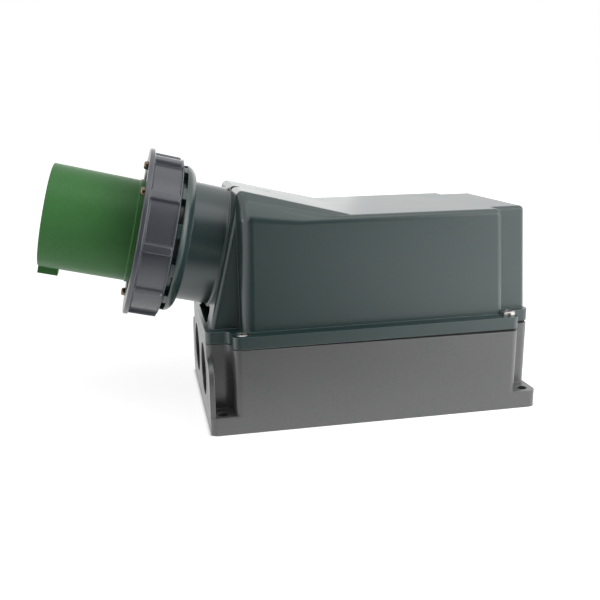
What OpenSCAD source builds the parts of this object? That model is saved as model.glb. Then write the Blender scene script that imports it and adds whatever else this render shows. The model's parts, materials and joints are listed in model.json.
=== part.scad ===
// Wall mounted appliance inlet: a base and a cover with an angled neck, a bayonet ring that
// turns on the neck, and a shrouded set of contact pins.

/* [Base] */
// Length of the base along the wall
base_l = 235; // [220:1:260]
// Width of the base
base_w = 142; // [138:1:156]
// Height of the base from the wall to the parting plane
base_h = 58; // [54:1:70]
// Height of the four fixing feet
foot_h = 12.5; // [8:0.5:16]
// Length of the notch over each foot
notch_l = 16.5; // [15:0.5:19]
// Depth of the notch over each foot
notch_w = 18; // [15:0.5:20]
// Radius of the upright corners
corner_r = 5; // [4.5:0.25:6]
// Radius of the fillet inside each notch
notch_fillet = 6; // [2:0.5:8]
// Wall thickness of base and cover
wall = 4; // [3:0.25:4.25]
// Thickness of the base's floor
floor_t = 4; // [3:0.5:6]
// Thickness of the gusset over each foot at the entry end
gusset_t = 3.5; // [2:0.5:5]
// Distance from the parting plane down to the tops of the gussets
gusset_drop = 8.5; // [5:0.5:18]
// Diameter of the wall fixing holes
fixing_d = 7.4; // [5:0.1:8]
// Distance from the base's ends to the fixing holes
fixing_end = 8.5; // [8:0.5:10]
// Distance from the base's sides to the fixing holes
fixing_side = 7; // [6.5:0.5:9]
// Diameter of each cable entry
entry_d = 37.5; // [32:0.5:40]
// Distance from each cable entry to the casing's inner wall beside it
entry_side = 3.75; // [1:0.25:6]
// Distance from the parting plane down to the middle of the cable entries
entry_drop = 25; // [22:0.5:28]

/* [Cover] */
// Angle at which the cover stands open at the end away from the inlet
cover_lift = 0.4; // [0.2:0.1:0.8]
// Gap between base and cover at the inlet end
seam = 0.4; // [0.2:0.1:1]
// Height of the cover's rim
rim_h = 8.4; // [6:0.2:10]
// Height of the flat top above the parting plane
cover_h = 83; // [76:1:90]
// Width of the rim's ledge along the long sides
side_ledge = 10; // [8:0.5:12]
// Width of the rim's ledge beside the end pockets
end_ledge = 5.5; // [4:0.5:7]
// Length of the pockets over the cover screws at the inlet end
front_pocket = 24; // [20:0.5:28]
// Length of the pockets over the cover screws at the other end
back_pocket = 24; // [20:0.5:28]
// Distance from the base's end to the cover's back wall
back_inset = 0.8; // [0.4:0.2:4]
// Lean of the cover's back wall
back_lean = 3; // [1:0.25:4]
// Lean of the cover's walls
draft = 2; // [1:0.25:3]
// Distance that the head's front top corners stand in from the front block's sides
crown_in = 3; // [1:0.5:5]
// Radius of the head's shoulders
shoulder_r = 10; // [9:0.5:12]
// Swell of the head's leaning sides
head_swell = 1.5; // [0.5:0.25:2]
// Radius of the head's upright edges
head_r = 7.5; // [6:0.5:9]
// Radius of the cover's other outer edges
edge_r = 5; // [4:0.5:6]
// Diameter of the cover screws' heads
screw_head_d = 9; // [7:0.5:10]
// Distance from the base's end to the cover screws at the inlet
front_screw_x = 23; // [22:0.5:25]
// Distance from the base's other end to the cover screws there
back_screw_x = 21.5; // [20.5:0.5:24]
// Depth of the counterbores of the cover screws at the inlet
screw_sink = 2.5; // [1:0.5:4]
// Distance from the base's side to each cover screw
screw_y = 8; // [7.5:0.5:10]

/* [Inlet] */
// Angle between the inlet and the wall
inlet_tilt = 13.5; // [10:0.5:18]
// Distance from the base's end to the foot of the front face
front_inset = 3.9; // [3:0.1:6]
// Distance up the front face from the rim to the inlet's axis
inlet_up = 50.2; // [48:0.2:56]
// Wall thickness of the neck
neck_wall = 4.5; // [3.5:0.25:6]
// Length of the neck up to the collar
neck_l = 24; // [16:0.5:32]
// Distance that the collar stands out from the spigot
collar_out = 5.7; // [4:0.1:7]
// Length of the collar
collar_l = 7.2; // [5:0.2:10]
// Length of the lugs on the collar's face
lug_l = 2.8; // [2:0.1:3.6]
// Diameter of the spigot that the ring turns on
spigot_d = 92; // [90:0.5:94]

/* [Ring] */
// Height of the ring's front rim over its panels
rim_out = 3.9; // [3:0.1:5]
// Length of the ring
ring_l = 23.5; // [21:0.5:27]
// Wall thickness of the ring at the panels between the grip ribs
panel_wall = 4.4; // [3.5:0.1:6]
// Length of the front rim
ring_rim_l = 5; // [4:0.1:6]
// Width of each grip rib
rib_w = 5.4; // [4:0.2:8]
// Number of grip ribs
rib_count = 10; // [8:1:12]
// Turn of the first grip rib
rib_turn = 16.8; // [0:0.1:35]
// Length of the ring's inner flange on the spigot
flange_l = 5.7; // [5:0.1:8]
// Inside diameter of the ring's front lip
lip_bore_d = 90; // [88:0.5:91]
// Turn of the middle of the upper bayonet cam
cam_turn = -31; // [-40:1:-20]
// Angle that each bayonet cam spans
cam_span = 58; // [50:1:70]
// Distance from the wall of the ring's hollow to the middle of the cam screws
cam_screw_in = 2; // [1.75:0.25:2.5]

/* [Contacts] */
// Outer diameter of the sleeve
sleeve_d = 71; // [70:0.5:72]
// Wall thickness of the sleeve
sleeve_wall = 3.5; // [2.5:0.25:4]
// Distance that the sleeve stands out in front of the ring
sleeve_out = 60.5; // [54:0.5:66]
// Length of the key at the sleeve's mouth
key_l = 13.4; // [8:0.2:20]
// Width of the key
key_w = 9; // [6:0.5:12]
// Height of the key above the sleeve
key_h = 4.5; // [3:0.5:6]
// Diameter of the circle of the contact pins
pin_pcd = 36; // [34:0.5:37]
// Diameter of the phase and neutral pins
pin_d = 8; // [7:0.5:9]
// Diameter of the earth pin
earth_d = 10; // [9:0.5:11]
// Diameter of the pilot pin
pilot_d = 6; // [4:0.5:7]
// Distance from the sleeve's mouth to the tips of the phase pins
pin_inset = 14; // [10:0.5:20]
// Angle from the key to the earth pin
earth_turn = 120; // [0:30:330]

/* [Hidden] */
$fn = 96;

// Clearances: a fitted part in its hole, a turning part on its seat, a face beside a moving one;
// then a hair's step that keeps two faces out of one plane
slip = 0.1;
run = 0.05;
gap = 0.3;
shy = 0.03;

// Half sizes of the base and the cover
half_l = base_l / 2;
half_w = base_w / 2;
fixing_x = half_l - fixing_end;
fixing_y = half_w - fixing_side;
entry_y = half_w - notch_w - wall - entry_side - entry_d / 2;
entry_z = base_h - entry_drop;
gusset_h = base_h - gusset_drop;
narrow_w = half_w - notch_w - end_ledge;
crown_w = narrow_w - crown_in;
wide_w = half_w - side_ledge;
boss_r = 5.5;
screw_r = 2.5;
screw_head_h = 3;
screw_l = 24;
screw_hole = 0.2;
gusset_in = 1.5;
gusset_r = notch_w - 3;
gasket_in = 1;

// Radii of the sleeve, and of the neck between the sleeve's inside and the spigot's outside
sleeve_r = sleeve_d / 2;
sleeve_in_r = sleeve_r - sleeve_wall;
spigot_r = spigot_d / 2;
spigot_more = 3;
spigot_wall = (spigot_r - sleeve_in_r + spigot_more) / 2;
bore_r = spigot_r - spigot_wall;
neck_r = bore_r + neck_wall;

// Side outline of the cover, in its own frame
rim_z = base_h + rim_h;
top_z = base_h + cover_h;
up_x = sin(inlet_tilt);
up_z = cos(inlet_tilt);
front_x = front_inset - half_l;
inlet_x = front_x + inlet_up * up_x;
inlet_z = rim_z + inlet_up * up_z;
head_margin = 3;
root = 1.2;
head_up = neck_r + head_margin;
head_x = inlet_x + head_up * up_x;
head_z = inlet_z + head_up * up_z;
slope_l = (head_z - top_z) / up_x;
narrow_r = edge_r - 1;
end_r = edge_r - 2;
shoulder_z = top_z - 3.5;
narrow_lean = 1.5;
wide_x0 = front_pocket - half_l;
wide_x1 = half_l - back_pocket;
back_x = half_l - back_inset;
front_t = wall + 1;
front_reach = 60;

// Recess under the neck, strap hole and mark line
recess_w = 52;
recess_h = 10.5;
recess_d = 9;
recess_wall = 3;
recess_r = 5;
strap_d = 8.5;
strap_y = -9;
strap_depth = 4;
mark_x = 21;
mark_y = 15;
mark_l = 12;
mark_w = 1.2;
mark_depth = 0.7;

// Stations along the inlet, from the front face outwards
collar_s = neck_l + collar_l;
lug_s = collar_s + lug_l;
ring_s = lug_s + gap;
flange_s = ring_s + flange_l;
spigot_s = flange_s + gap;
ring_front = ring_s + ring_l;
lip_t = 3.5;
lip_s = ring_front - lip_t;
cam_t = 2.5;
cam_s = lip_s - cam_t;
sleeve_flange_t = 3.5;
face_s = spigot_s + sleeve_flange_t;
gasket_t = 2.5;
sleeve_front = ring_front + sleeve_out;

// Radii of the collar, the ring and the cams
collar_r = spigot_r + collar_out;
lug_count = 12;
lug_w = 9;
lug_turn = 13.5;
root_r = sleeve_r + 0.7;
root_l = 3.2;
sleeve_flange_r = spigot_r + 2.3;
lip_r = lip_bore_d / 2;
lip_w = 5;
cavity_r = max(sleeve_flange_r + 1.7, lip_r + lip_w);
ring_bore_r = spigot_r + run;
panel_r = cavity_r + panel_wall;
ring_r = panel_r + rim_out;
rib_r = ring_r - 0.6;
ring_back_r = panel_r - 1.4;
ring_back_l = 0.3;
rib_tip = 1.8;
bead = 0.8;
cam_in_r = lip_r - 2;
cam_out_r = cavity_r - 0.2;
cam_screw_place = cavity_r - cam_screw_in;
cam_screw_turn = 18;

// Carrier, retainer, screws and pins
carrier_t = 4;
carrier_s = spigot_s - carrier_t;
carrier_front = face_s + 14;
retainer_t = 5;
retainer_s = carrier_s - retainer_t;
pin_collar_t = 2;
pin_collar_r = 7.5;
barrel_s = retainer_s + retainer_t - pin_collar_t;
barrel_l = 24;
barrel_r = 6;
wire_r = 3.8;
wire_l = 16;
wire_screw_s = barrel_s - barrel_l + 6;
wire_screw_r = 2.4;
wire_screw_l = 8;
wire_screw_in = 1.2;
pin_s = sleeve_front - pin_inset;
earth_lead = 4;
pilot_lag = 12;
small_r = 1.75;
small_head_r = 2.9;
small_head_h = 2.8;
carrier_screw_r = 1.25;
carrier_head_r = 2.2;
carrier_place = (bore_r + sleeve_in_r) / 2 - 0.3;
sleeve_screw_place = bore_r + 1.5 + spigot_wall * 7 / 17;
sleeve_screw_r = 1.75;
sleeve_head_out = 1.2;
sleeve_screw_l = 10;
seal_w = 1.7;
seal_in = (sleeve_screw_place - bore_r - sleeve_screw_r - seal_w) / 2;

casing_grey = [0.33, 0.37, 0.36];
base_grey = [0.43, 0.42, 0.42];
ring_grey = [0.42, 0.42, 0.45];
sleeve_green = [0.16, 0.42, 0.17];
carrier_black = [0.14, 0.14, 0.15];
seal_black = [0.06, 0.06, 0.06];
screw_steel = [0.72, 0.72, 0.7];
pin_brass = [0.78, 0.66, 0.4];

// Places the cover and what it carries on the base
module on_base()
    translate([-half_l, 0, base_h + seam]) rotate([0, -cover_lift, 0])
        translate([half_l, 0, -base_h]) children();

// Local Z runs out along the inlet, and local X up its front face
module on_inlet()
    on_base() translate([inlet_x, 0, inlet_z]) rotate([0, inlet_tilt - 90, 0]) children();

module four_ways() for (i = [0, 1], j = [0, 1]) mirror([i, 0, 0]) mirror([0, j, 0]) children();

module around(n, r, start = 0)
    for (i = [0 : n - 1]) rotate([0, 0, start + i * 360 / n]) translate([r, 0, 0]) children();

module tube(r1, r2, s1, s2) translate([0, 0, s1]) difference() {
    cylinder(h = s2 - s1, r = r2);
    translate([0, 0, -1]) cylinder(h = s2 - s1 + 2, r = r1);
}

// A corner to be cut off, and the notched outline that base and cover share, drawn in by an amount
module corner(r) translate([-r, -r]) difference() {
    square(r + 1);
    circle(r);
}

module round_rect(l, w, r) difference() {
    square([2 * l, 2 * w], center = true);
    four_ways() translate([l, w]) corner(r);
}

module outline(inset = 0) {
    l = half_l - inset;
    w = half_w - inset;
    r = max(corner_r - inset, 1);
    f = notch_fillet;
    difference() {
        square([2 * l, 2 * w], center = true);
        four_ways() {
            translate([l, w - notch_w]) corner(r);
            translate([l - notch_l, w]) corner(r);
            translate([l - notch_l, w - notch_w]) difference() {
                square([notch_l + 1, notch_w + 1]);
                difference() {
                    translate([-1, -1]) square(f + 1);
                    translate([f, f]) circle(f);
                }
            }
        }
    }
}

module both_sides() for (j = [0, 1]) mirror([0, j, 0]) children();
module front_screws(z = 0) both_sides() translate([front_screw_x - half_l, half_w - screw_y, z]) children();
module back_screws(z = 0) both_sides() translate([half_l - back_screw_x, half_w - screw_y, z]) children();
module screw_places() {
    front_screws() children();
    back_screws() children();
}

// Base: a notched box with feet, gussets, bosses for the cover screws and two cable entries
module gusset() rotate([90, 0, 90]) linear_extrude(gusset_t) difference() {
    translate([-1, foot_h - 1]) square([notch_w - gusset_in + 1, gusset_h - foot_h + 1]);
    translate([notch_w - gusset_in - gusset_r, gusset_h - gusset_r]) difference() {
        square(gusset_r + 1);
        circle(gusset_r);
    }
}

module base_housing() color(base_grey) difference() {
    union() {
        linear_extrude(foot_h) round_rect(half_l, half_w, corner_r);
        linear_extrude(base_h) outline();
        both_sides() translate([-half_l, half_w - notch_w, 0]) gusset();
    }
    translate([0, 0, floor_t]) linear_extrude(base_h) difference() {
        outline(wall);
        screw_places() circle(boss_r);
    }
    four_ways() translate([fixing_x, fixing_y, -1]) cylinder(h = foot_h + 2, d = fixing_d);
    for (j = [-1, 1]) translate([-half_l - 1, j * entry_y, entry_z])
        rotate([0, 90, 0]) cylinder(h = wall + 2, d = entry_d);
    screw_places() translate([0, 0, base_h - screw_l]) cylinder(h = screw_l + 1, r = screw_r + screw_hole);
}

// Half width at a height of a wall that leans in
function lean_in(half, lean, z) = half - (z - rim_z) * tan(lean);

// Balls at points of a side outline, on both sides, and a plain block with leaning sides
module balls(points, r, half, lean) for (j = [-1, 1], p = points)
    translate([p[0], j * lean_in(half - r, lean, p[1]), p[1]]) sphere(r, $fn = 24);

module plain_block(points, half, lean) {
    low = lean_in(half, lean, base_h - 2);
    high = lean_in(half, lean, head_z);
    intersection() {
        rotate([90, 0, 0]) linear_extrude(base_w, center = true) polygon(points);
        rotate([90, 0, 90]) linear_extrude(2 * base_l, center = true)
            polygon([[-low, base_h - 2], [low, base_h - 2], [high, head_z], [-high, head_z]]);
    }
}

// A point on the slope, by its distance from the front face and its depth, and one on the front face
function slope_at(along, under) =
    [head_x + along * up_z - under * up_x, head_z - along * up_x - under * up_z];
function front_at(z, in) = [front_x + (z - rim_z) * up_x / up_z + in / up_z, z];

// Side outlines of the back, the head and the front, drawn in from the outer faces
function back_side(x0, x1, lean, inset, low) = let (
    top = top_z - inset,
    back = x1 - inset,
    slant = tan(lean)
) [[x0, low], [back - (low - rim_z) * slant, low], [back - (top - rim_z) * slant, top], [x0, top]];

function head_side(x, inset, front, low) = let (
    end = slope_at(slope_l + 20, inset),
    top = slope_at(front, inset),
    over = (top[0] - x) * up_z / up_x,
    level = end[1] + (end[0] - x) * up_x / up_z
) concat([[x, low], [end[0], low], end], over > 0 ? [top, [x, top[1] - over]] : [[x, level]]);

function front_side(inset, front, low) = let (
    end = slope_at(front_reach, inset)
) [front_at(low, front), [end[0], low], end, slope_at(front, inset)];

module head(low) hull() {
    end = slope_at(slope_l + 20, edge_r);
    crown = slope_at(narrow_r, narrow_r);
    for (j = [-1, 1]) translate([(wide_x0 + shoulder_r + crown[0]) / 2 + head_swell,
            j * (lean_in(wide_w - shoulder_r, draft, shoulder_z) + crown_w - narrow_r) / 2,
            (shoulder_z + crown[1]) / 2])
        sphere((shoulder_r + narrow_r) / 2 + head_swell, $fn = 24);
    balls([[wide_x0 + head_r - shy, low]], head_r, wide_w + shy, draft);
    balls([[wide_x0 + shoulder_r - shy, shoulder_z]], shoulder_r, wide_w + shy, draft);
    balls([crown], narrow_r, crown_w, 0);
    balls([[end[0], low], end], edge_r, wide_w + shy, draft);
}

module cover_outside() {
    low = rim_z - 2;
    head(low);
    hull() balls(back_side(wide_x0 + 25, wide_x1, draft, edge_r, low), edge_r, wide_w, draft);
    hull() balls(back_side(0, back_x, back_lean, end_r + shy, low), end_r, narrow_w, draft / 2);
    hull() balls(front_side(narrow_r + shy, narrow_r - shy, low), narrow_r, narrow_w, narrow_lean);
}

module cover_inside() {
    low = base_h - 1;
    plain_block(back_side(wide_x0 + wall, wide_x1, draft, wall, low), wide_w - wall, draft);
    plain_block(back_side(0, back_x, back_lean, wall + 0.3, low), narrow_w - wall, draft / 2);
    plain_block(head_side(wide_x0 + wall + 0.3, wall + 0.3, front_t, low), crown_w - 2 * wall, 0);
    plain_block(front_side(wall + 0.6, front_t + 0.3, low), narrow_w - wall, narrow_lean);
}

// Recess in the front face under the neck, and the wall that closes it off inside
module recess(d, grow) {
    r = recess_r;
    h = recess_h + 2 * grow + 2;
    translate([inlet_x, 0, inlet_z]) rotate([0, inlet_tilt - 90, 0])
        translate([-inlet_up, 0, -d]) linear_extrude(d + 1) difference() {
            translate([-grow - 2, 0]) union() {
                translate([0, -recess_w / 2 - grow]) square([h - r - grow, recess_w + 2 * grow]);
                translate([0, r - recess_w / 2]) square([h, recess_w - 2 * r]);
                for (j = [-1, 1]) translate([h - r - grow, j * (recess_w / 2 - r)]) circle(r + grow);
            }
            if (grow == 0) translate([inlet_up, 0]) circle(neck_r + 2);
        }
}

// Solid of the neck, collar, lugs and spigot
module neck() {
    n = 8;
    rotate_extrude() polygon(concat([[0, 1 - front_t], [neck_r + root, 1 - front_t], [neck_r + root, 0.6],
            [neck_r + root / 3, root], [neck_r, 2 * root]],
        [for (i = [0 : n]) let (a = i * 90 / n)
            [neck_r + (collar_r - neck_r) * sin(a), collar_s - collar_l * cos(a)]],
        [[spigot_r, collar_s], [spigot_r, spigot_s], [0, spigot_s]]));
    intersection() {
        around(lug_count, 0, lug_turn) translate([spigot_r - 1, -lug_w / 2, collar_s - 1])
            cube([collar_r, lug_w, lug_l + 1]);
        tube(spigot_r - 1, collar_r - 0.2, collar_s - 2, lug_s + 1);
    }
}

module cover_housing() color(casing_grey) difference() {
    union() {
        on_base() cover_outside();
        on_base() translate([0, 0, base_h]) linear_extrude(rim_h) outline();
        on_inlet() neck();
    }
    on_base() difference() {
        cover_inside();
        recess(recess_d + recess_wall, recess_wall);
    }
    on_base() translate([-half_l - 1, -half_w - 1, base_h + shy - 20]) cube([base_l + 2, base_w + 2, 20]);
    on_base() recess(recess_d, 0);
    on_inlet() translate([0, 0, -3 * front_t]) cylinder(h = spigot_s + 4 * front_t, r = bore_r);
    on_inlet() tube(bore_r + seal_in, bore_r + seal_in + seal_w, spigot_s - seal_w, spigot_s + 1);
    on_inlet() around(4, sleeve_screw_place, 45) translate([0, 0, spigot_s - sleeve_screw_l - 1])
        cylinder(h = sleeve_screw_l + 2, r = sleeve_screw_r + slip);
    on_base() screw_places() translate([0, 0, base_h - 1])
        cylinder(h = rim_h + 2, r = screw_r + screw_hole);
    on_base() front_screws(rim_z - screw_sink) cylinder(h = screw_sink + 1, d = screw_head_d + 0.8);
    on_base() translate([head_x, strap_y, head_z]) rotate([0, inlet_tilt - 45, 0])
        translate([0, 0, -strap_depth - 2]) cylinder(h = strap_depth + 4, d = strap_d);
    on_base() translate([head_x, 0, head_z]) rotate([0, inlet_tilt, 0])
        translate([mark_x, mark_y, -mark_depth]) rotate([0, 0, -25]) cube([mark_l, mark_w, 2]);
}

// A wedge of sealing sheet between base and cover, with eyes for the screws
module cover_gasket() color(seal_black) difference() {
    h = base_l * tan(cover_lift) + 2 * seam;
    translate([0, 0, base_h]) linear_extrude(h) outline(gasket_in);
    translate([0, 0, base_h - 1]) linear_extrude(h + 2) difference() {
        outline(wall);
        screw_places() circle(boss_r);
    }
    screw_places() translate([0, 0, base_h - 1]) cylinder(h = h + 2, r = screw_r + 2 * screw_hole);
    on_base() translate([-half_l - 20, -half_w, base_h]) cube([base_l + 40, base_w, 20]);
}

module pan_screw(head_r, head_h, r, l) {
    n = 6;
    difference() {
        rotate_extrude() polygon(concat([[0, -l], [r, -l], [r, 0], [head_r, 0]],
            [for (i = [0 : n]) let (a = i * 90 / n)
                [head_r * (0.55 + 0.45 * cos(a)), head_h * (0.35 + 0.65 * sin(a))]],
            [[0, head_h]]));
        for (a = [0, 90]) rotate([0, 0, a]) translate([-head_r * 0.5, -head_r * 0.12, head_h * 0.45])
            cube([head_r, head_r * 0.24, head_h]);
    }
}

module cover_screws() color(screw_steel) on_base() {
    front_screws(rim_z - screw_sink) pan_screw(screw_head_d / 2, screw_head_h, screw_r, screw_l - screw_sink);
    back_screws(rim_z) pan_screw(screw_head_d / 2, screw_head_h, screw_r, screw_l);
}

// A grip rib with sloping sides and a rounded back end
module rib() intersection() {
    h = rib_r - panel_r + 1;
    s = ring_s + 0.7;
    translate([0, 0, s - 1]) linear_extrude(ring_front - 1 - s) polygon([
        [-1, -rib_w / 2 - 1], [1, -rib_w / 2 - bead], [h, -rib_w / 2 + 0.2],
        [h, rib_w / 2 - 0.2], [1, rib_w / 2 + bead], [-1, rib_w / 2 + 1]]);
    w = rib_w / 2 + bead - rib_tip;
    n = 5;
    rotate([90, 0, 90]) linear_extrude(h + 1) polygon(concat(
        [[rib_w, s + rib_tip], [rib_w, s + ring_l], [-rib_w, s + ring_l], [-rib_w, s + rib_tip]],
        [for (i = [0 : n]) let (a = 180 + 90 * i / n) [rib_tip * cos(a) - w, s + rib_tip * (1 + sin(a))]],
        [for (i = [0 : n]) let (a = 270 + 90 * i / n) [rib_tip * cos(a) + w, s + rib_tip * (1 + sin(a))]]));
}

// Ring that turns on the spigot, with grip ribs and a lip for the cams
module bayonet_ring() color(ring_grey) on_inlet() difference() {
    union() {
        rotate_extrude() polygon([
            [ring_bore_r, ring_s], [ring_back_r, ring_s], [ring_back_r, ring_s + ring_back_l],
            [panel_r + bead, ring_s + ring_back_l + 0.3], [panel_r + bead, ring_s + ring_back_l + 1],
            [panel_r, ring_s + ring_back_l + 1 + bead], [panel_r, ring_front - ring_rim_l - bead],
            [ring_r - 0.6, ring_front - ring_rim_l + bead], [ring_r, ring_front - ring_rim_l + 2 * bead],
            [ring_r, ring_front - 0.8], [ring_r - 0.8, ring_front],
            [lip_r + 0.6, ring_front], [lip_r, ring_front - 0.6], [lip_r, lip_s],
            [cavity_r, lip_s], [cavity_r, flange_s], [ring_bore_r, flange_s]]);
        around(rib_count, panel_r - 1, rib_turn) rib();
    }
    cam_screw_places() translate([0, 0, lip_s - 1]) cylinder(h = lip_t + 2, r = small_r + slip);
}

module cam_screw_places()
    for (i = [0, 180], j = [-1, 1]) rotate([0, 0, cam_turn + i + j * cam_screw_turn])
        translate([cam_screw_place, 0, 0]) children();

module cam(turn) on_inlet() difference() {
    rotate([0, 0, turn - cam_span / 2]) rotate_extrude(angle = cam_span)
        translate([cam_in_r, cam_s]) square([cam_out_r - cam_in_r, cam_t]);
    cam_screw_places() translate([0, 0, cam_s - 1]) cylinder(h = cam_t + 2, r = small_r + slip);
}

module upper_cam() color(screw_steel) cam(cam_turn);
module lower_cam() color(screw_steel) cam(cam_turn + 180);

module cam_screws() color(screw_steel) on_inlet() cam_screw_places()
    translate([0, 0, ring_front]) pan_screw(small_head_r, small_head_h, small_r, lip_t + cam_t + 1.2);

// Sleeve with a flange that keeps the ring on the spigot, and a key at its mouth
module sleeve() color(sleeve_green) on_inlet() difference() {
    union() {
        rotate_extrude() polygon([
            [sleeve_in_r, spigot_s], [sleeve_flange_r, spigot_s], [sleeve_flange_r, face_s],
            [root_r, face_s], [root_r, ring_front + root_l - 0.6], [sleeve_r, ring_front + root_l],
            [sleeve_r, sleeve_front - 0.6], [sleeve_r - 0.6, sleeve_front],
            [sleeve_in_r + 0.6, sleeve_front], [sleeve_in_r, sleeve_front - 0.6]]);
        translate([-sleeve_r - key_h, -key_w / 2, sleeve_front - key_l]) cube([key_h + 2, key_w, key_l]);
    }
    around(4, sleeve_screw_place, 45) translate([0, 0, spigot_s - 1]) {
        cylinder(h = sleeve_flange_t + 2, r = sleeve_screw_r + slip);
        translate([0, 0, sleeve_flange_t + 0.9 - sleeve_head_out])
            cylinder(h = sleeve_head_out + slip, r1 = sleeve_screw_r + slip,
                r2 = sleeve_screw_r + sleeve_head_out + 2 * slip);
        translate([0, 0, sleeve_flange_t + 1 - slip])
            cylinder(h = 1, r = sleeve_screw_r + sleeve_head_out + 3 * slip);
    }
    around(3, carrier_place, 30) translate([0, 0, spigot_s - 1]) cylinder(h = 3.5, r = carrier_screw_r);
}

module sleeve_screws() color(screw_steel) on_inlet() around(4, sleeve_screw_place, 45)
    translate([0, 0, spigot_s - sleeve_screw_l]) difference() {
        top = sleeve_flange_t + sleeve_screw_l - slip;
        rotate_extrude() polygon([[0, 0], [sleeve_screw_r, 0], [sleeve_screw_r, top - sleeve_head_out],
            [sleeve_screw_r + sleeve_head_out, top], [0, top]]);
        for (a = [0, 90]) rotate([0, 0, a]) translate([-2, -0.4, top - 1]) cube([4, 0.8, 2]);
    }

module sleeve_seal() color(seal_black) on_inlet()
    tube(bore_r + seal_in, bore_r + seal_in + seal_w, spigot_s - seal_w, spigot_s);

module face_gasket() color(seal_black) on_inlet()
    tube(root_r + 0.2, sleeve_flange_r - 0.3, face_s, face_s + gasket_t);

// Carrier, retainer and pins
function pin_angle(i) = 180 + earth_turn + 72 * i;
module at_pin(i) rotate([0, 0, pin_angle(i)]) translate([pin_pcd / 2, 0, 0]) children();

module contact_carrier() color(carrier_black) on_inlet() difference() {
    union() {
        translate([0, 0, carrier_s]) cylinder(h = carrier_t, r = bore_r - slip);
        translate([0, 0, carrier_s + 1]) cylinder(h = carrier_front - carrier_s - 1, r = sleeve_in_r - slip);
    }
    translate([0, 0, carrier_s - 1]) {
        at_pin(0) cylinder(h = carrier_front, d = earth_d + 2 * slip);
        for (i = [1 : 4]) at_pin(i) cylinder(h = carrier_front, d = pin_d + 2 * slip);
        cylinder(h = carrier_front, d = pilot_d + 2 * slip);
        around(3, carrier_place, 30) cylinder(h = carrier_t + 2, r = carrier_screw_r + slip);
    }
}

module pin_retainer() color(carrier_black) on_inlet() difference() {
    translate([0, 0, retainer_s]) cylinder(h = retainer_t, r = bore_r - slip);
    translate([0, 0, retainer_s - 1]) {
        for (i = [0 : 4]) at_pin(i) pin_hole();
        pin_hole();
        around(3, carrier_place, 30) cylinder(h = retainer_t + 2, r = carrier_screw_r + slip);
    }
}

module pin_hole() {
    cylinder(h = retainer_t + 2, r = barrel_r + slip);
    translate([0, 0, 1 + retainer_t - pin_collar_t]) cylinder(h = pin_collar_t + 1, r = pin_collar_r + slip);
}

module carrier_screws() color(screw_steel) on_inlet() around(3, carrier_place, 30)
    translate([0, 0, retainer_s]) mirror([0, 0, 1])
        pan_screw(carrier_head_r, 2, carrier_screw_r, retainer_t + carrier_t + 2.2);

module pin(r, s) difference() {
    tip = r * 0.35;
    rotate_extrude() polygon([[0, barrel_s - barrel_l], [barrel_r, barrel_s - barrel_l], [barrel_r, barrel_s],
        [pin_collar_r, barrel_s], [pin_collar_r, carrier_s], [r, carrier_s], [r, s - 2 * tip],
        [r - tip * 0.4, s - tip * 0.8], [r - 1.2 * tip, s], [0, s]]);
    translate([0, 0, barrel_s - barrel_l - 1]) cylinder(h = wire_l + 1, r = wire_r);
    translate([0, 0, wire_screw_s]) rotate([0, 90, 0]) cylinder(h = barrel_r + 2, r = wire_screw_r + slip);
}

module pin_l1() color(pin_brass) on_inlet() at_pin(1) pin(pin_d / 2, pin_s);
module pin_l2() color(pin_brass) on_inlet() at_pin(2) pin(pin_d / 2, pin_s);
module pin_l3() color(pin_brass) on_inlet() at_pin(3) pin(pin_d / 2, pin_s);
module pin_neutral() color(pin_brass) on_inlet() at_pin(4) pin(pin_d / 2, pin_s);
module pin_earth() color(pin_brass) on_inlet() at_pin(0) pin(earth_d / 2, pin_s + earth_lead);
module pin_pilot() color(pin_brass) on_inlet() rotate([0, 0, pin_angle(0.5)])
    pin(pilot_d / 2, pin_s - pilot_lag);

module wire_screw() translate([wire_screw_in, 0, wire_screw_s]) rotate([0, 90, 0]) difference() {
    cylinder(h = wire_screw_l, r = wire_screw_r);
    translate([-0.4, -2 * wire_screw_r, wire_screw_l - 1.2]) cube([0.8, 4 * wire_screw_r, 2]);
}

module terminal_screws() color(screw_steel) on_inlet() {
    for (i = [0 : 4]) at_pin(i) wire_screw();
    rotate([0, 0, pin_angle(0.5)]) wire_screw();
}

base_housing();
cover_housing();
cover_gasket();
cover_screws();
bayonet_ring();
upper_cam();
lower_cam();
cam_screws();
sleeve();
sleeve_screws();
sleeve_seal();
face_gasket();
contact_carrier();
pin_retainer();
carrier_screws();
pin_l1();
pin_l2();
pin_l3();
pin_neutral();
pin_earth();
pin_pilot();
terminal_screws();
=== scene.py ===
"""Looks of a wall mounted appliance inlet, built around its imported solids."""

import json
import math

import bpy
import numpy as np
from bpy.props import FloatProperty, FloatVectorProperty, IntProperty, PointerProperty
from mathutils import Matrix, Vector

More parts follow.
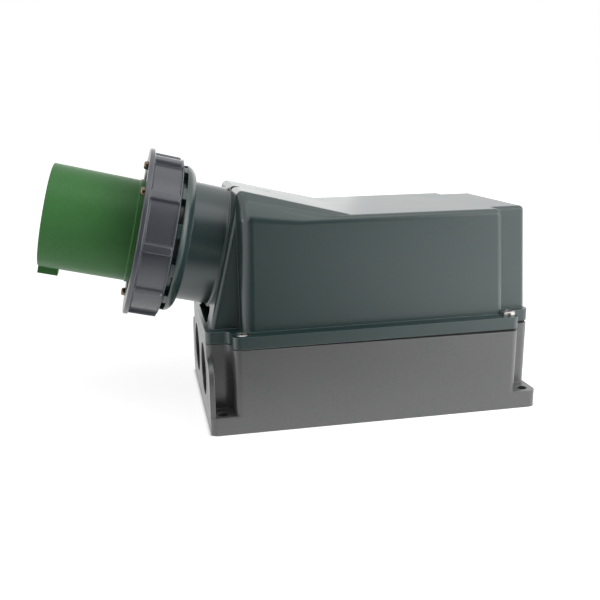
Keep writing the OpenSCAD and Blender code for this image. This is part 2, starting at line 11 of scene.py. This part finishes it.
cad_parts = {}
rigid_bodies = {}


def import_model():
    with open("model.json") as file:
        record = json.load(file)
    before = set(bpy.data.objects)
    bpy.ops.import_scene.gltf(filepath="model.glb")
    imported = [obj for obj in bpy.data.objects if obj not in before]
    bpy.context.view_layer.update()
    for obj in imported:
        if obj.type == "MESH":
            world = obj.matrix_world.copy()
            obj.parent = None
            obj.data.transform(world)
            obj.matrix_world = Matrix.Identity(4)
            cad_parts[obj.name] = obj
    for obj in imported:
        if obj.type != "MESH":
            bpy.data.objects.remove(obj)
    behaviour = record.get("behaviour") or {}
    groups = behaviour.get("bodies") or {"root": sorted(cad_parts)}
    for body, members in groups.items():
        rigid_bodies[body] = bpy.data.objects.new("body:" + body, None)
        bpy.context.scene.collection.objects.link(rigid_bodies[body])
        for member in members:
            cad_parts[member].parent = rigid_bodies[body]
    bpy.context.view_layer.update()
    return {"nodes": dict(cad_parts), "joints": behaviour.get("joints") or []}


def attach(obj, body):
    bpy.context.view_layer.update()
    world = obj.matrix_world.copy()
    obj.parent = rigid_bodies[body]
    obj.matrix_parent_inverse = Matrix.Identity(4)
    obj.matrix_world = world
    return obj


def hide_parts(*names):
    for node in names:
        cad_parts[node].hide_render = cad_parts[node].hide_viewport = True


bl_info = {
    "name": "Appliance inlet",
    "version": (1, 0, 0),
    "blender": (4, 5, 0),
    "location": "View3D > Sidebar > Inlet",
    "description": "Finishes, light and camera for a wall mounted appliance inlet",
    "category": "Object",
}

for leftover in list(bpy.data.objects):
    bpy.data.objects.remove(leftover)
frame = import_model()
NODES = frame["nodes"]
MM = 0.001
WELD = 2e-6
SEEN_RAYS = ("Is Camera Ray", "Is Glossy Ray", "Is Transmission Ray")

# Sizes of the plastics' surface: clouds, specks and grain across, and the grain's depth
CLOUD, SPECK, GRAIN = 38 * MM, 1.6 * MM, 0.35 * MM
GRAIN_DEPTH = 0.0025 * MM

# Lamps by name: place and size in metres, and whether reflections show the lamp
LAMPS = {
    "top": ((0.05, -0.45, 1.2), (1.8, 0.7), True),
    "back": ((0.4, 1.6, 0.55), (2.2, 0.6), True),
    "low": ((0.0, 1.5, 0.30), (0.9, 0.3), True),
    "left": ((-1.3, 0.03, 0.42), (0.4, 0.4), True),
    "right": ((0.6, -0.30, 0.30), (0.5, 0.55), False),
    "front": ((0.7, -0.6, 0.45), (0.75, 0.75), True),
}
LAMPS_AIM = (-0.02, 0.0, 0.08)

# Axis of the ring, outwards, with a point on it, and the directions up and across the inlet's face
TURN = frame["joints"][0]
PIVOT, AXIS = np.array(TURN["pos_m"]), np.array(TURN["axis"])
UP = np.array([AXIS[2], 0.0, -AXIS[0]])
ACROSS = np.cross(AXIS, UP)


def stations(node):
    """Lowest and highest distance of a node's points along the ring's axis,
    and their greatest distance from it."""
    points = np.empty(len(NODES[node].data.vertices) * 3, np.float32)
    NODES[node].data.vertices.foreach_get("co", points)
    points = points.reshape(-1, 3) - PIVOT
    along = points @ AXIS
    return along.min(), along.max(), np.linalg.norm(points - np.outer(along, AXIS), axis=1).max()


# The visual ring stays a hair inside the solid one
RING_CLEARANCE = 0.02 * MM
RING_BACK, RING_FRONT, RING_RADIUS = stations("bayonet_ring")
RING_RADIUS -= RING_CLEARANCE


# Sizes and colours

def colour_prop(name, description, value):
    return FloatVectorProperty(
        name=name, description=description, subtype="COLOR", size=3, min=0, max=1, default=value)


def length_prop(name, description, value):
    return FloatProperty(name=name, description=description, unit="LENGTH", min=0, default=value)


def angle_prop(name, description, degrees):
    return FloatProperty(
        name=name, description=description, subtype="ANGLE", default=math.radians(degrees))


def factor_prop(name, description, value):
    return FloatProperty(name=name, description=description, min=0, default=value)


class InletFinishes(bpy.types.PropertyGroup):
    """Colours and surface sizes of the finishes"""

    cover_grey: colour_prop("Cover", "Dark teal grey of the moulded cover", (0.025, 0.053, 0.051))
    base_grey: colour_prop("Base", "Warm grey of the moulded base", (0.118, 0.122, 0.120))
    ring_grey: colour_prop("Ring", "Violet grey of the bayonet ring", (0.080, 0.086, 0.104))
    sleeve_green: colour_prop("Sleeve", "Green of the sleeve", (0.084, 0.270, 0.082))
    carrier_black: colour_prop("Carrier", "Black of the contact carrier", (0.018, 0.018, 0.020))
    seal_black: colour_prop("Seals", "Black of the rubber seals", (0.012, 0.012, 0.012))
    steel: colour_prop("Steel", "Plated steel of the screws", (0.62, 0.60, 0.57))
    bronze: colour_prop("Cam screws", "Brownish plating of the cam screws", (0.24, 0.18, 0.13))
    brass: colour_prop("Pins", "Brass of the contact pins", (0.70, 0.52, 0.24))
    edge_round: length_prop("Edge radius", "Radius of the moulded edges", 0.9 * MM)
    metal_round: length_prop("Metal edge radius", "Radius of the edges of metal pieces", 0.3 * MM)


class InletRing(bpy.types.PropertyGroup):
    """Sizes of the bayonet ring"""

    rim_length: length_prop("Rim length", "Length of the front rim", 3.4 * MM)
    rim_height: length_prop("Rim height", "Height of the front rim over the panels", 3.9 * MM)
    rib_height: length_prop("Rib height", "Height of the grip ribs over the panels", 2.8 * MM)
    rib_width: length_prop("Rib width", "Width of each grip rib", 5.8 * MM)
    rib_tip: length_prop("Rib tip", "Corner radius of the ribs' back ends", 1.8 * MM)
    rib_count: IntProperty(name="Ribs", description="Number of grip ribs", min=3, default=10)
    rib_turn: angle_prop("Rib turn", "Turn of the first rib from straight up", 16.8)
    bead: length_prop("Bead", "Height of the bead at the panels' back edge", 0.8 * MM)
    back_step: length_prop("Back step", "Step down from the panels to the back edge", 1.4 * MM)
    lip_bore: length_prop("Lip", "Inner radius of the front lip", 45 * MM)
    lip_length: length_prop("Lip thickness", "Thickness of the front lip", 3.5 * MM)
    hollow: length_prop("Hollow", "Inner radius between lip and flange", 50 * MM)
    flange_bore: length_prop("Flange", "Inner radius of the back flange", 46.05 * MM)
    flange_length: length_prop("Flange length", "Length of the back flange", 5.7 * MM)
    front_round: length_prop("Front round", "Radius of the rim's front edge", 0.8 * MM)


class InletStage(bpy.types.PropertyGroup):
    """Camera and light"""

    yaw: angle_prop("Yaw", "Turn of the camera from straight across the base", 12.113)
    pitch: angle_prop("Pitch", "Angle by which the camera looks down", 13.998)
    roll: angle_prop("Roll", "Roll of the camera", -0.465)
    place: FloatVectorProperty(
        name="Place", description="Place of the camera", subtype="TRANSLATION", size=3,
        default=(-0.15618, -0.53365, 0.20799))
    lens: FloatProperty(name="Lens", description="Focal length on a 36 mm sensor", default=44.962)
    top_light: factor_prop("Top light", "Power of the light overhead in watts", 3.1)
    back_light: factor_prop("Back light", "Power of the light behind in watts", 2.0)
    low_light: factor_prop("Low light", "Power of the small low light behind in watts", 0.7)
    left_light: factor_prop("Left light", "Power of the light at the inlet's end in watts", 2.3)
    right_light: factor_prop("Right light", "Power of the light at the other end in watts", 2.4)
    front_light: factor_prop("Front light", "Power of the light in front at the right in watts", 3.1)
    ambient: factor_prop("Ambient", "Strength of the light from all round", 0.12)
    front_gleam: factor_prop("Front", "Brightness of the studio's front in reflections", 0.0)


# Shader maths

class Wire:
    """A shader value: Python's operators on it add Math nodes."""

    def __init__(self, graph, socket):
        self.graph, self.socket = graph, socket

    def math(self, operation, *values, clamp=False):
        settings = {"operation": operation, "use_clamp": clamp}
        return self.graph.node("ShaderNodeMath", settings, *values)

    def __add__(self, other):
        return self.math("ADD", self, other)

    __radd__ = __add__

    def __sub__(self, other):
        return self.math("SUBTRACT", self, other)

    def __rsub__(self, other):
        return self.math("SUBTRACT", other, self)

    def __mul__(self, other):
        return self.math("MULTIPLY", self, other)

    __rmul__ = __mul__

    def __truediv__(self, other):
        return self.math("DIVIDE", self, other)

    def clamp(self):
        return self.math("ADD", self, 0.0, clamp=True)

    def size(self):
        return self.math("ABSOLUTE", self)

    def most(self, other):
        return self.math("MAXIMUM", self, other)

    def step(self, low, high):
        """0 below low, 1 above high, and a smooth rise between."""
        settings = {"interpolation_type": "SMOOTHSTEP"}
        return self.graph.node("ShaderNodeMapRange", settings, Value=self, **{
            "From Min": low, "From Max": high, "To Min": 0.0, "To Max": 1.0})

    def dot(self, other):
        return self.graph.node(
            "ShaderNodeVectorMath", {"operation": "DOT_PRODUCT"}, self, other, out="Value")


class Graph:
    """The nodes of a material, or of the world."""

    def __init__(self, owner):
        self.owner = owner
        owner.use_nodes = True
        self.tree = owner.node_tree
        self.tree.nodes.clear()

    def node(self, kind, settings=None, *values, out=0, **named):
        """Adds a node, sets its settings first, then its sockets by order or by name."""
        made = self.tree.nodes.new(kind)
        for key, value in (settings or {}).items():
            setattr(made, key, value)
        for key, value in [*enumerate(values), *named.items()]:
            if isinstance(value, Wire):
                self.tree.links.new(value.socket, made.inputs[key])
            else:
                made.inputs[key].default_value = value
        return None if out is None else Wire(self, made.outputs[out])

    def mix(self, factor, first, second):
        """A colour between first and second."""
        made = self.tree.nodes.new("ShaderNodeMix")
        made.data_type = "RGBA"
        sockets = [s for s in made.inputs if s.enabled]
        for socket, value in zip(sockets, (factor, first, second)):
            if isinstance(value, Wire):
                self.tree.links.new(value.socket, socket)
            elif socket.type == "RGBA":
                socket.default_value = (*value[:3], 1.0)
            else:
                socket.default_value = value
        return Wire(self, next(s for s in made.outputs if s.enabled))

    def place(self):
        """Object coordinates, in metres."""
        return self.node("ShaderNodeTexCoord", out="Object")

    def part(self, vector, axis):
        """One coordinate of a vector."""
        return self.node("ShaderNodeSeparateXYZ", None, vector, out=axis)

    def noise(self, place, size, detail=2.0, rough=0.5):
        """Soft noise with features of about the given size in metres."""
        return self.node("ShaderNodeTexNoise", None, Vector=place, Scale=1.0 / size,
                         Detail=detail, Roughness=rough)

    def stretch(self, place, scale):
        """Coordinates scaled along each axis."""
        return self.node("ShaderNodeMapping", None, Vector=place, Scale=scale)

    def bump(self, height, depth, **normal):
        """Normal of a relief with the given depth in metres."""
        return self.node("ShaderNodeBump", None, Strength=1.0, Distance=depth, Height=height, **normal)

    def finish(self, **sockets):
        """Principled surface with the given sockets."""
        surface = self.tree.nodes.new("ShaderNodeBsdfPrincipled")
        for key, value in sockets.items():
            key = key.replace("_", " ")
            if isinstance(value, Wire):
                self.tree.links.new(value.socket, surface.inputs[key])
            elif surface.inputs[key].type == "RGBA":
                surface.inputs[key].default_value = (*value[:3], 1.0)
            else:
                surface.inputs[key].default_value = value
        output = self.tree.nodes.new("ShaderNodeOutputMaterial")
        self.tree.links.new(surface.outputs[0], output.inputs[0])
        return self.owner


def shade(colour, factor):
    """A colour made lighter or darker."""
    return tuple(min(c * factor, 1.0) for c in colour)


# Finishes

def soft_edges(g, radius):
    """Normal that rounds the edges off, and a mask of where it does."""
    rounded = g.node("ShaderNodeBevel", {"samples": 6}, Radius=radius)
    flat = g.node("ShaderNodeNewGeometry", out="Normal")
    return rounded, (1.0 - rounded.dot(flat)).step(0.01, 0.25)


def moulded(name, colour, rough, radius, wear_and_highlight=0.25, sheen=0.5, crest=None):
    """Moulded plastic: clouded colour, fine spark-eroded grain, and edges lightened by wear and by
    painted highlight.

    The attribute named by crest adds to the lightened edges, wear and painted highlight alike."""
    g = Graph(bpy.data.materials.new(name))
    place = g.place()
    rounded, edge = soft_edges(g, radius)
    if crest:
        edge = (edge + g.node("ShaderNodeAttribute", {"attribute_name": crest}, out="Fac")).clamp()
    cloud = g.noise(place, CLOUD, 3.0)
    speck = g.noise(place, SPECK, 2.0)
    fine = g.noise(place, GRAIN, 2.0, 0.6)
    tone = g.mix(cloud.step(0.25, 0.75), shade(colour, 0.95), shade(colour, 1.05))
    tone = g.mix(speck.step(0.3, 0.7), tone, shade(colour, 1.08))
    # Edges lighter in tone: partly rubbed wear, partly a painted highlight for light caught on the
    # rounded edges
    tone = g.mix(edge * wear_and_highlight, tone, shade(colour, 2.4))
    gloss = rough + (cloud - 0.5) * 0.06 + (speck - 0.5) * 0.03
    normal = g.bump(fine * 0.7 + speck * 0.3, GRAIN_DEPTH, Normal=rounded)
    return g.finish(
        Base_Color=tone, Roughness=gloss, Normal=normal, IOR=1.5, Specular_IOR_Level=sheen)


def plated(name, colour, radius, rough=0.35, stain=0.35):
    """Plated metal: fine turning marks, dull patches and dark stains."""
    g = Graph(bpy.data.materials.new(name))
    place = g.place()
    rounded, edge = soft_edges(g, radius)
    cloud = g.noise(place, 2.2 * MM, 3.0)
    turned = g.noise(g.stretch(place, (1.0, 1.0, 0.06)), 0.12 * MM, 2.0)
    tone = g.mix(cloud.step(0.45, 0.75) * stain, colour, shade(colour, 0.45))
    tone = g.mix(edge * 0.5, tone, shade(colour, 1.25))
    gloss = rough + (cloud - 0.5) * 0.12 + (turned - 0.5) * 0.08
    normal = g.bump(turned, 0.012 * MM, Normal=rounded)
    return g.finish(Base_Color=tone, Roughness=gloss, Metallic=1.0, Normal=normal)


def rubber(name, colour):
    """Seal rubber: matt, with a dusty bloom."""
    g = Graph(bpy.data.materials.new(name))
    place = g.place()
    bloom = g.noise(place, 4 * MM, 4.0)
    fine = g.noise(place, 0.25 * MM, 2.0)
    tone = g.mix(bloom.step(0.4, 0.8), colour, shade(colour, 2.6))
    gloss = 0.72 + (bloom - 0.5) * 0.2
    return g.finish(Base_Color=tone, Roughness=gloss, Normal=g.bump(fine, 0.03 * MM), IOR=1.5)


# Surfaces

def rise(x, low, high):
    """Smooth step of x: 0 up to low, 1 from high on, and 3t^2 - 2t^3 between."""
    t = np.clip((x - low) / (high - low), 0.0, 1.0)
    return t * t * (3.0 - 2.0 * t)


def spread(*spans):
    """Even steps through each span (start, end, count), one after the other."""
    return np.concatenate([np.linspace(*span) for span in spans])


def wrapped_mesh(name, points):
    """Mesh of a grid of points (rows, columns, 3) that closes on itself both ways."""
    index = np.arange(points.shape[0] * points.shape[1]).reshape(points.shape[:2])
    above = np.roll(index, -1, 0)
    faces = np.stack([index, np.roll(index, -1, 1), np.roll(above, -1, 1), above], -1)
    mesh = bpy.data.meshes.new(name)
    mesh.from_pydata(points.reshape(-1, 3).tolist(), [], faces.reshape(-1, 4).tolist())
    mesh.shade_smooth()
    mesh.set_sharp_from_angle(angle=math.radians(40))
    return mesh


def ring_height(r, around, along, length):
    """Height of the ring's outside over its panels, at a distance around from the nearest rib's
    middle and a distance along from the back edge.

    A rib is a smooth step of the distance to a rectangle with round corners, the rim and the bead
    are smooth steps along, and the sixth root of the sum of sixth powers joins the three. The back
    edge steps down."""
    soft = 0.55 * MM
    bead_place, bead_flat, bead_foot = 0.75 * MM, 0.2 * MM, 0.8 * MM
    inner = r.rib_width / 2 - r.rib_tip
    beside, behind = np.abs(around) - inner, 1.5 * r.rib_tip - along
    outside = (np.hypot(np.maximum(beside, 0), np.maximum(behind, 0))
               + np.minimum(np.maximum(beside, behind), 0))
    rib = r.rib_height * (1 - rise(outside - r.rib_tip, -soft, soft))
    rim = r.rim_height * rise(along, length - r.rim_length - 2 * soft, length - r.rim_length + soft)
    bead = r.bead * (1 - rise(np.abs(along - bead_place), bead_flat, bead_foot))
    joined = (rib ** 6 + rim ** 6 + bead ** 6) ** (1 / 6)
    return np.minimum(joined, r.rim_height) - r.back_step * (1 - rise(along, 0.0, 0.5 * MM))


def ring_points(r):
    """Grid of the ring's surface: each row is a circle about the axis, back to front outside and
    front to back inside.

    A point is pivot + along * axis + radius * (cos t * up + sin t * across). With the grid comes
    how far each point is a crest: the height's second derivatives, added up and turned over. The
    grid is fine at the back edge, the rim's foot and the ribs' sides, and coarse between."""
    length, panel = RING_FRONT - RING_BACK, RING_RADIUS - r.rim_height
    foot = length - r.rim_length
    edge = length - r.front_round
    along = spread(
        (0, 3 * MM, 19), (4 * MM, foot - 2 * MM, 7),
        (foot - 1.6 * MM, foot + 1.2 * MM, 15), (foot + 1.8 * MM, edge, 3))
    half = math.pi / r.rib_count
    side = r.rib_width / 2
    offset = spread(
        (0, side - 1.2 * MM, 3), (side - MM, side + MM, 13), (side + 1.8 * MM, half * panel, 6))
    offset = np.concatenate([-offset[:0:-1], offset[:-1]]) / panel
    turn = (r.rib_turn + 2 * half * np.arange(r.rib_count)[:, None] + offset).ravel()
    around = np.tile(offset, r.rib_count) * panel
    height = ring_height(r, around[None, :], along[:, None], length)
    bend = sum(np.gradient(np.gradient(height, step, axis=axis), step, axis=axis)
               for axis, step in enumerate((along, turn * panel)))
    corner = np.linspace(0, math.pi / 2, 7)[1:]
    chamfer = 0.6 * MM
    inside = np.array([
        (r.lip_bore + chamfer, length), (r.lip_bore, length - chamfer),
        (r.lip_bore, length - r.lip_length), (r.hollow, length - r.lip_length),
        (r.hollow, r.flange_length), (r.flange_bore, r.flange_length), (r.flange_bore, 0.0)])
    plain = np.concatenate([RING_RADIUS - r.front_round * (1 - np.cos(corner)), inside[:, 0]])
    plain = np.repeat(plain[:, None], len(turn), 1)
    radius = np.concatenate([panel + height, plain])
    # Crests get a lighter tone in the ring's finish: partly wear, partly painted highlight on ribs,
    # beads and fillets
    crest = np.concatenate([np.clip(-bend * 0.1 * MM, 0, 1), 0 * plain])
    along = np.concatenate([along, edge + r.front_round * np.sin(corner), inside[:, 1]]) + RING_BACK
    outwards = np.cos(turn)[:, None] * UP + np.sin(turn)[:, None] * ACROSS
    return PIVOT + along[:, None, None] * AXIS + radius[:, :, None] * outwards, crest


def new_piece(name, mesh, material, body, slot, *replaced):
    """A piece of the object that rides on a body and stands for solids of the frame."""
    piece = bpy.data.objects.new(name, mesh)
    bpy.context.scene.collection.objects.link(piece)
    mesh.materials.append(material)
    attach(piece, body)
    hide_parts(*replaced)
    return piece


# Solids taken over from the frame

def smooth_group(angle):
    """Nodes that weld a solid's triangles and smooth its faces up to an angle between them."""
    key = "smooth_%d" % round(math.degrees(angle))
    if key in bpy.data.node_groups:
        return bpy.data.node_groups[key]
    group = bpy.data.node_groups.new(key, "GeometryNodeTree")
    group.interface.new_socket("Geometry", in_out="INPUT", socket_type="NodeSocketGeometry")
    group.interface.new_socket("Geometry", in_out="OUTPUT", socket_type="NodeSocketGeometry")
    kinds = ("NodeGroupInput", "GeometryNodeMergeByDistance", "GeometryNodeSetShadeSmooth",
             "GeometryNodeInputMeshEdgeAngle", "FunctionNodeCompare", "GeometryNodeSetShadeSmooth",
             "NodeGroupOutput")
    start, weld, faces, bend, under, edges, end = (group.nodes.new(k) for k in kinds)
    weld.inputs["Distance"].default_value = WELD
    faces.domain, edges.domain = "FACE", "EDGE"
    under.operation = "LESS_EQUAL"
    under.inputs["B"].default_value = angle
    link = group.links.new
    link(start.outputs[0], weld.inputs["Geometry"])
    link(weld.outputs[0], faces.inputs["Geometry"])
    link(faces.outputs[0], edges.inputs["Geometry"])
    link(bend.outputs["Unsigned Angle"], under.inputs["A"])
    link(under.outputs[0], edges.inputs["Shade Smooth"])
    link(edges.outputs[0], end.inputs[0])
    return group


def dress(node, material, angle=None):
    """Gives a solid its finish, and smooth faces where it is built of facets."""
    solid = NODES[node]
    solid.data.materials.clear()
    solid.data.materials.append(material)
    if angle:
        solid.modifiers.new("Smooth", "NODES").node_group = smooth_group(angle)
        even = solid.modifiers.new("Even", "WEIGHTED_NORMAL")
        even.mode, even.weight, even.keep_sharp = "FACE_AREA", 80, True


class Piece(bpy.types.Operator):
    """Adds one group of pieces"""

    bl_options = {"REGISTER", "UNDO"}

    def execute(self, context):
        self.make(context.scene.inlet_finishes)
        return {"FINISHED"}


class INLET_OT_base(Piece):
    """Finish of the base"""

    bl_idname, bl_label = "inlet.base", "Base"

    def make(self, p):
        dress("base_housing", moulded(
            "base_plastic_finish", p.base_grey, rough=0.32, radius=p.edge_round, wear_and_highlight=0.5, sheen=1.0))


class INLET_OT_cover(Piece):
    """Finish of the cover"""

    bl_idname, bl_label = "inlet.cover", "Cover"

    def make(self, p):
        # The cover's edges are strongly lightened: painted highlight along rims and corners, with some
        # wear
        finish = moulded(
            "cover_plastic_finish", p.cover_grey, rough=0.30, radius=p.edge_round, wear_and_highlight=0.9, sheen=1.0)
        dress("cover_housing", finish, math.radians(24))


class INLET_OT_ring(Piece):
    """Bayonet ring with rounded ribs, and the finish of its cams"""

    bl_idname, bl_label = "inlet.ring", "Bayonet ring"

    def make(self, p):
        finish = moulded(
            "ring_plastic_finish", p.ring_grey, rough=0.32, radius=0.6 * MM, wear_and_highlight=0.8, sheen=1.0,
            crest="crest")
        points, crest = ring_points(bpy.context.scene.inlet_ring)
        mesh = wrapped_mesh("ring_shell", points)
        mesh.attributes.new("crest", "FLOAT", "POINT").data.foreach_set("value", crest.ravel())
        new_piece("ring_shell", mesh, finish, "ring", "ring_plastic", "bayonet_ring")
        bronze = plated("cam_screw_finish", p.bronze, radius=p.metal_round)
        for node in ("upper_cam", "lower_cam", "cam_screws"):
            dress(node, bronze)


class INLET_OT_sleeve(Piece):
    """Finish of the sleeve"""

    bl_idname, bl_label = "inlet.sleeve", "Sleeve"

    def make(self, p):
        dress("sleeve", moulded(
            "sleeve_plastic_finish", p.sleeve_green, rough=0.40, radius=0.5 * MM, sheen=0.25))


class INLET_OT_contacts(Piece):
    """Finish of the contact pins and their carrier"""

    bl_idname, bl_label = "inlet.contacts", "Contacts"

    def make(self, p):
        black = moulded("carrier_plastic_finish", p.carrier_black, rough=0.5, radius=0.5 * MM)
        dress("contact_carrier", black)
        dress("pin_retainer", black)
        brass = plated("pin_brass_finish", p.brass, rough=0.2, radius=p.metal_round)
        for pin in ("l1", "l2", "l3", "neutral", "earth", "pilot"):
            dress("pin_" + pin, brass)


class INLET_OT_fixings(Piece):
    """Finish of the screws and seals"""

    bl_idname, bl_label = "inlet.fixings", "Screws and seals"

    def make(self, p):
        steel = plated("screw_steel_finish", p.steel, radius=p.metal_round)
        for node in ("cover_screws", "sleeve_screws", "carrier_screws", "terminal_screws"):
            dress(node, steel)
        black = rubber("seal_rubber_finish", p.seal_black)
        for node in ("cover_gasket", "sleeve_seal", "face_gasket"):
            dress(node, black)


class INLET_OT_stage(bpy.types.Operator):
    """Floor, light, background and camera"""

    bl_idname, bl_label = "inlet.stage", "Stage"
    bl_options = {"REGISTER", "UNDO"}

    def execute(self, context):
        p = context.scene.inlet_stage
        self.camera(context.scene, p)
        self.floor(context.scene, p)
        self.world(context.scene, p)
        for name, (place, size, mirrored) in LAMPS.items():
            self.lamp(name + "_lamp", place, size, getattr(p, name + "_light"), mirrored)
        context.scene.view_settings.view_transform = "Standard"
        return {"FINISHED"}

    def camera(self, scene, p):
        """Looks along yaw and pitch, with the roll about the line of sight."""
        ahead = Vector((math.sin(p.yaw) * math.cos(p.pitch), math.cos(p.yaw) * math.cos(p.pitch),
                        -math.sin(p.pitch)))
        right = Vector((math.cos(p.yaw), -math.sin(p.yaw), 0.0))
        up = right.cross(ahead)
        across = right * math.cos(p.roll) + up * math.sin(p.roll)
        above = up * math.cos(p.roll) - right * math.sin(p.roll)
        turn = Matrix((across, above, -ahead)).transposed().to_4x4()
        data = bpy.data.cameras.new("photo_camera")
        data.sensor_width, data.lens, data.clip_start = 36.0, p.lens, 0.01
        camera = bpy.data.objects.new("photo_camera", data)
        camera.matrix_world = Matrix.Translation(p.place) @ turn
        scene.collection.objects.link(camera)
        scene.camera = camera

    def floor(self, scene, p):
        """A plain pale sheet under the object, which keeps its shadow.

        It glows white where it is seen, except under the base, where the missing glow is painted
        shade, and, in reflections, in front."""
        half, z = 4.0, -0.4 * MM
        corners = np.array([(-half, -half, z), (half, -half, z), (half, half, z), (-half, half, z)])
        mesh = bpy.data.meshes.new("floor")
        mesh.from_pydata(corners.tolist(), [], [(0, 1, 2, 3)])
        floor = bpy.data.objects.new("floor", mesh)
        scene.collection.objects.link(floor)
        g = Graph(bpy.data.materials.new("floor_finish"))
        seen, mirrored = self.rays(g)
        place = g.place()
        x, y = g.part(place, "X"), g.part(place, "Y")
        dark = (0.0 - y).step(0.05, 0.30) * (1.0 - x.step(-0.18, 0.38)) * x.step(-0.70, -0.38)
        front = mirrored * dark * (1.0 - p.front_gleam)
        away = g.node("ShaderNodeVectorMath", {"operation": "LENGTH"}, place, out="Value")
        # No glow under the base: painted shade that darkens the floor and the foot holes beneath it
        beyond_painted_shade = (x / 0.12).size().most((y / 0.07).size()).step(0.96, 1.0)
        glow = seen * (0.80 + 0.25 * away.step(0.3, 0.9)) * beyond_painted_shade * (1.0 - front)
        black, pale, white = (0.0, 0.0, 0.0), (0.8, 0.8, 0.8), (1.0, 1.0, 1.0)
        mesh.materials.append(g.finish(
            Base_Color=g.mix(front, pale, black), Roughness=0.9, Specular_IOR_Level=0.0,
            Emission_Color=g.mix(glow, black, white), Emission_Strength=1.0))

    def rays(self, g):
        """Masks of what is seen at all, and of what is seen in a reflection."""
        camera, *mirrored = (g.node("ShaderNodeLightPath", out=ray) for ray in SEEN_RAYS)
        mirrored = sum(mirrored).clamp()
        return (camera + mirrored).clamp(), mirrored

    def world(self, scene, p):
        """White to the camera and in reflections, except in front in reflections, where it is dark.

        Weak light comes from all round."""
        world = bpy.data.worlds.new("studio")
        g = Graph(world)
        seen, mirrored = self.rays(g)
        way = g.node("ShaderNodeTexCoord", out="Generated")
        x, ahead, high = g.part(way, "X"), 0.0 - g.part(way, "Y"), g.part(way, "Z")
        sideways = (ahead + x).step(0.0, 0.35) * (1.0 - x.step(0.25, 0.65))
        dark = sideways * ahead.step(0.05, 0.3) * (1.0 - high.step(0.7, 1.0))
        front = mirrored * dark * (1.0 - p.front_gleam)
        strength = seen * (1.0 - front) + (1.0 - seen) * p.ambient
        light = g.node("ShaderNodeBackground", None, Color=(1, 1, 1, 1), Strength=strength)
        g.node("ShaderNodeOutputWorld", None, light, out=None)
        scene.world = world

    def lamp(self, name, place, size, power, mirrored):
        """A soft rectangle of light that faces the object, and that shows in reflections or not."""
        data = bpy.data.lights.new(name, "AREA")
        data.shape, data.size, data.size_y, data.energy = "RECTANGLE", *size, power
        lamp = bpy.data.objects.new(name, data)
        lamp.location = place
        lamp.rotation_euler = (Vector(LAMPS_AIM) - Vector(place)).to_track_quat("-Z", "Y").to_euler()
        lamp.visible_camera, lamp.visible_glossy = False, mirrored
        bpy.context.scene.collection.objects.link(lamp)


class INLET_PT_panel(bpy.types.Panel):
    """Pieces of the inlet"""

    bl_label = "Appliance inlet"
    bl_space_type, bl_region_type, bl_category = "VIEW_3D", "UI", "Inlet"

    def draw(self, context):
        for operator in OPERATORS:
            self.layout.operator(operator.bl_idname)
        scene = context.scene
        for group in (scene.inlet_finishes, scene.inlet_ring, scene.inlet_stage):
            for name in group.__annotations__:
                self.layout.prop(group, name)


GROUPS = (InletFinishes, InletRing, InletStage)
OPERATORS = (INLET_OT_base, INLET_OT_cover, INLET_OT_ring, INLET_OT_sleeve, INLET_OT_contacts,
             INLET_OT_fixings, INLET_OT_stage)


def register():
    for cls in (*GROUPS, *OPERATORS, INLET_PT_panel):
        bpy.utils.register_class(cls)
    bpy.types.Scene.inlet_finishes = PointerProperty(type=InletFinishes)
    bpy.types.Scene.inlet_ring = PointerProperty(type=InletRing)
    bpy.types.Scene.inlet_stage = PointerProperty(type=InletStage)


def unregister():
    del bpy.types.Scene.inlet_finishes
    del bpy.types.Scene.inlet_ring
    del bpy.types.Scene.inlet_stage
    for cls in reversed((*GROUPS, *OPERATORS, INLET_PT_panel)):
        bpy.utils.unregister_class(cls)


def main():
    register()
    for operator in OPERATORS:
        group, name = operator.bl_idname.split(".")
        getattr(getattr(bpy.ops, group), name)()
    bpy.context.view_layer.update()


if __name__ == "__main__":
    main()
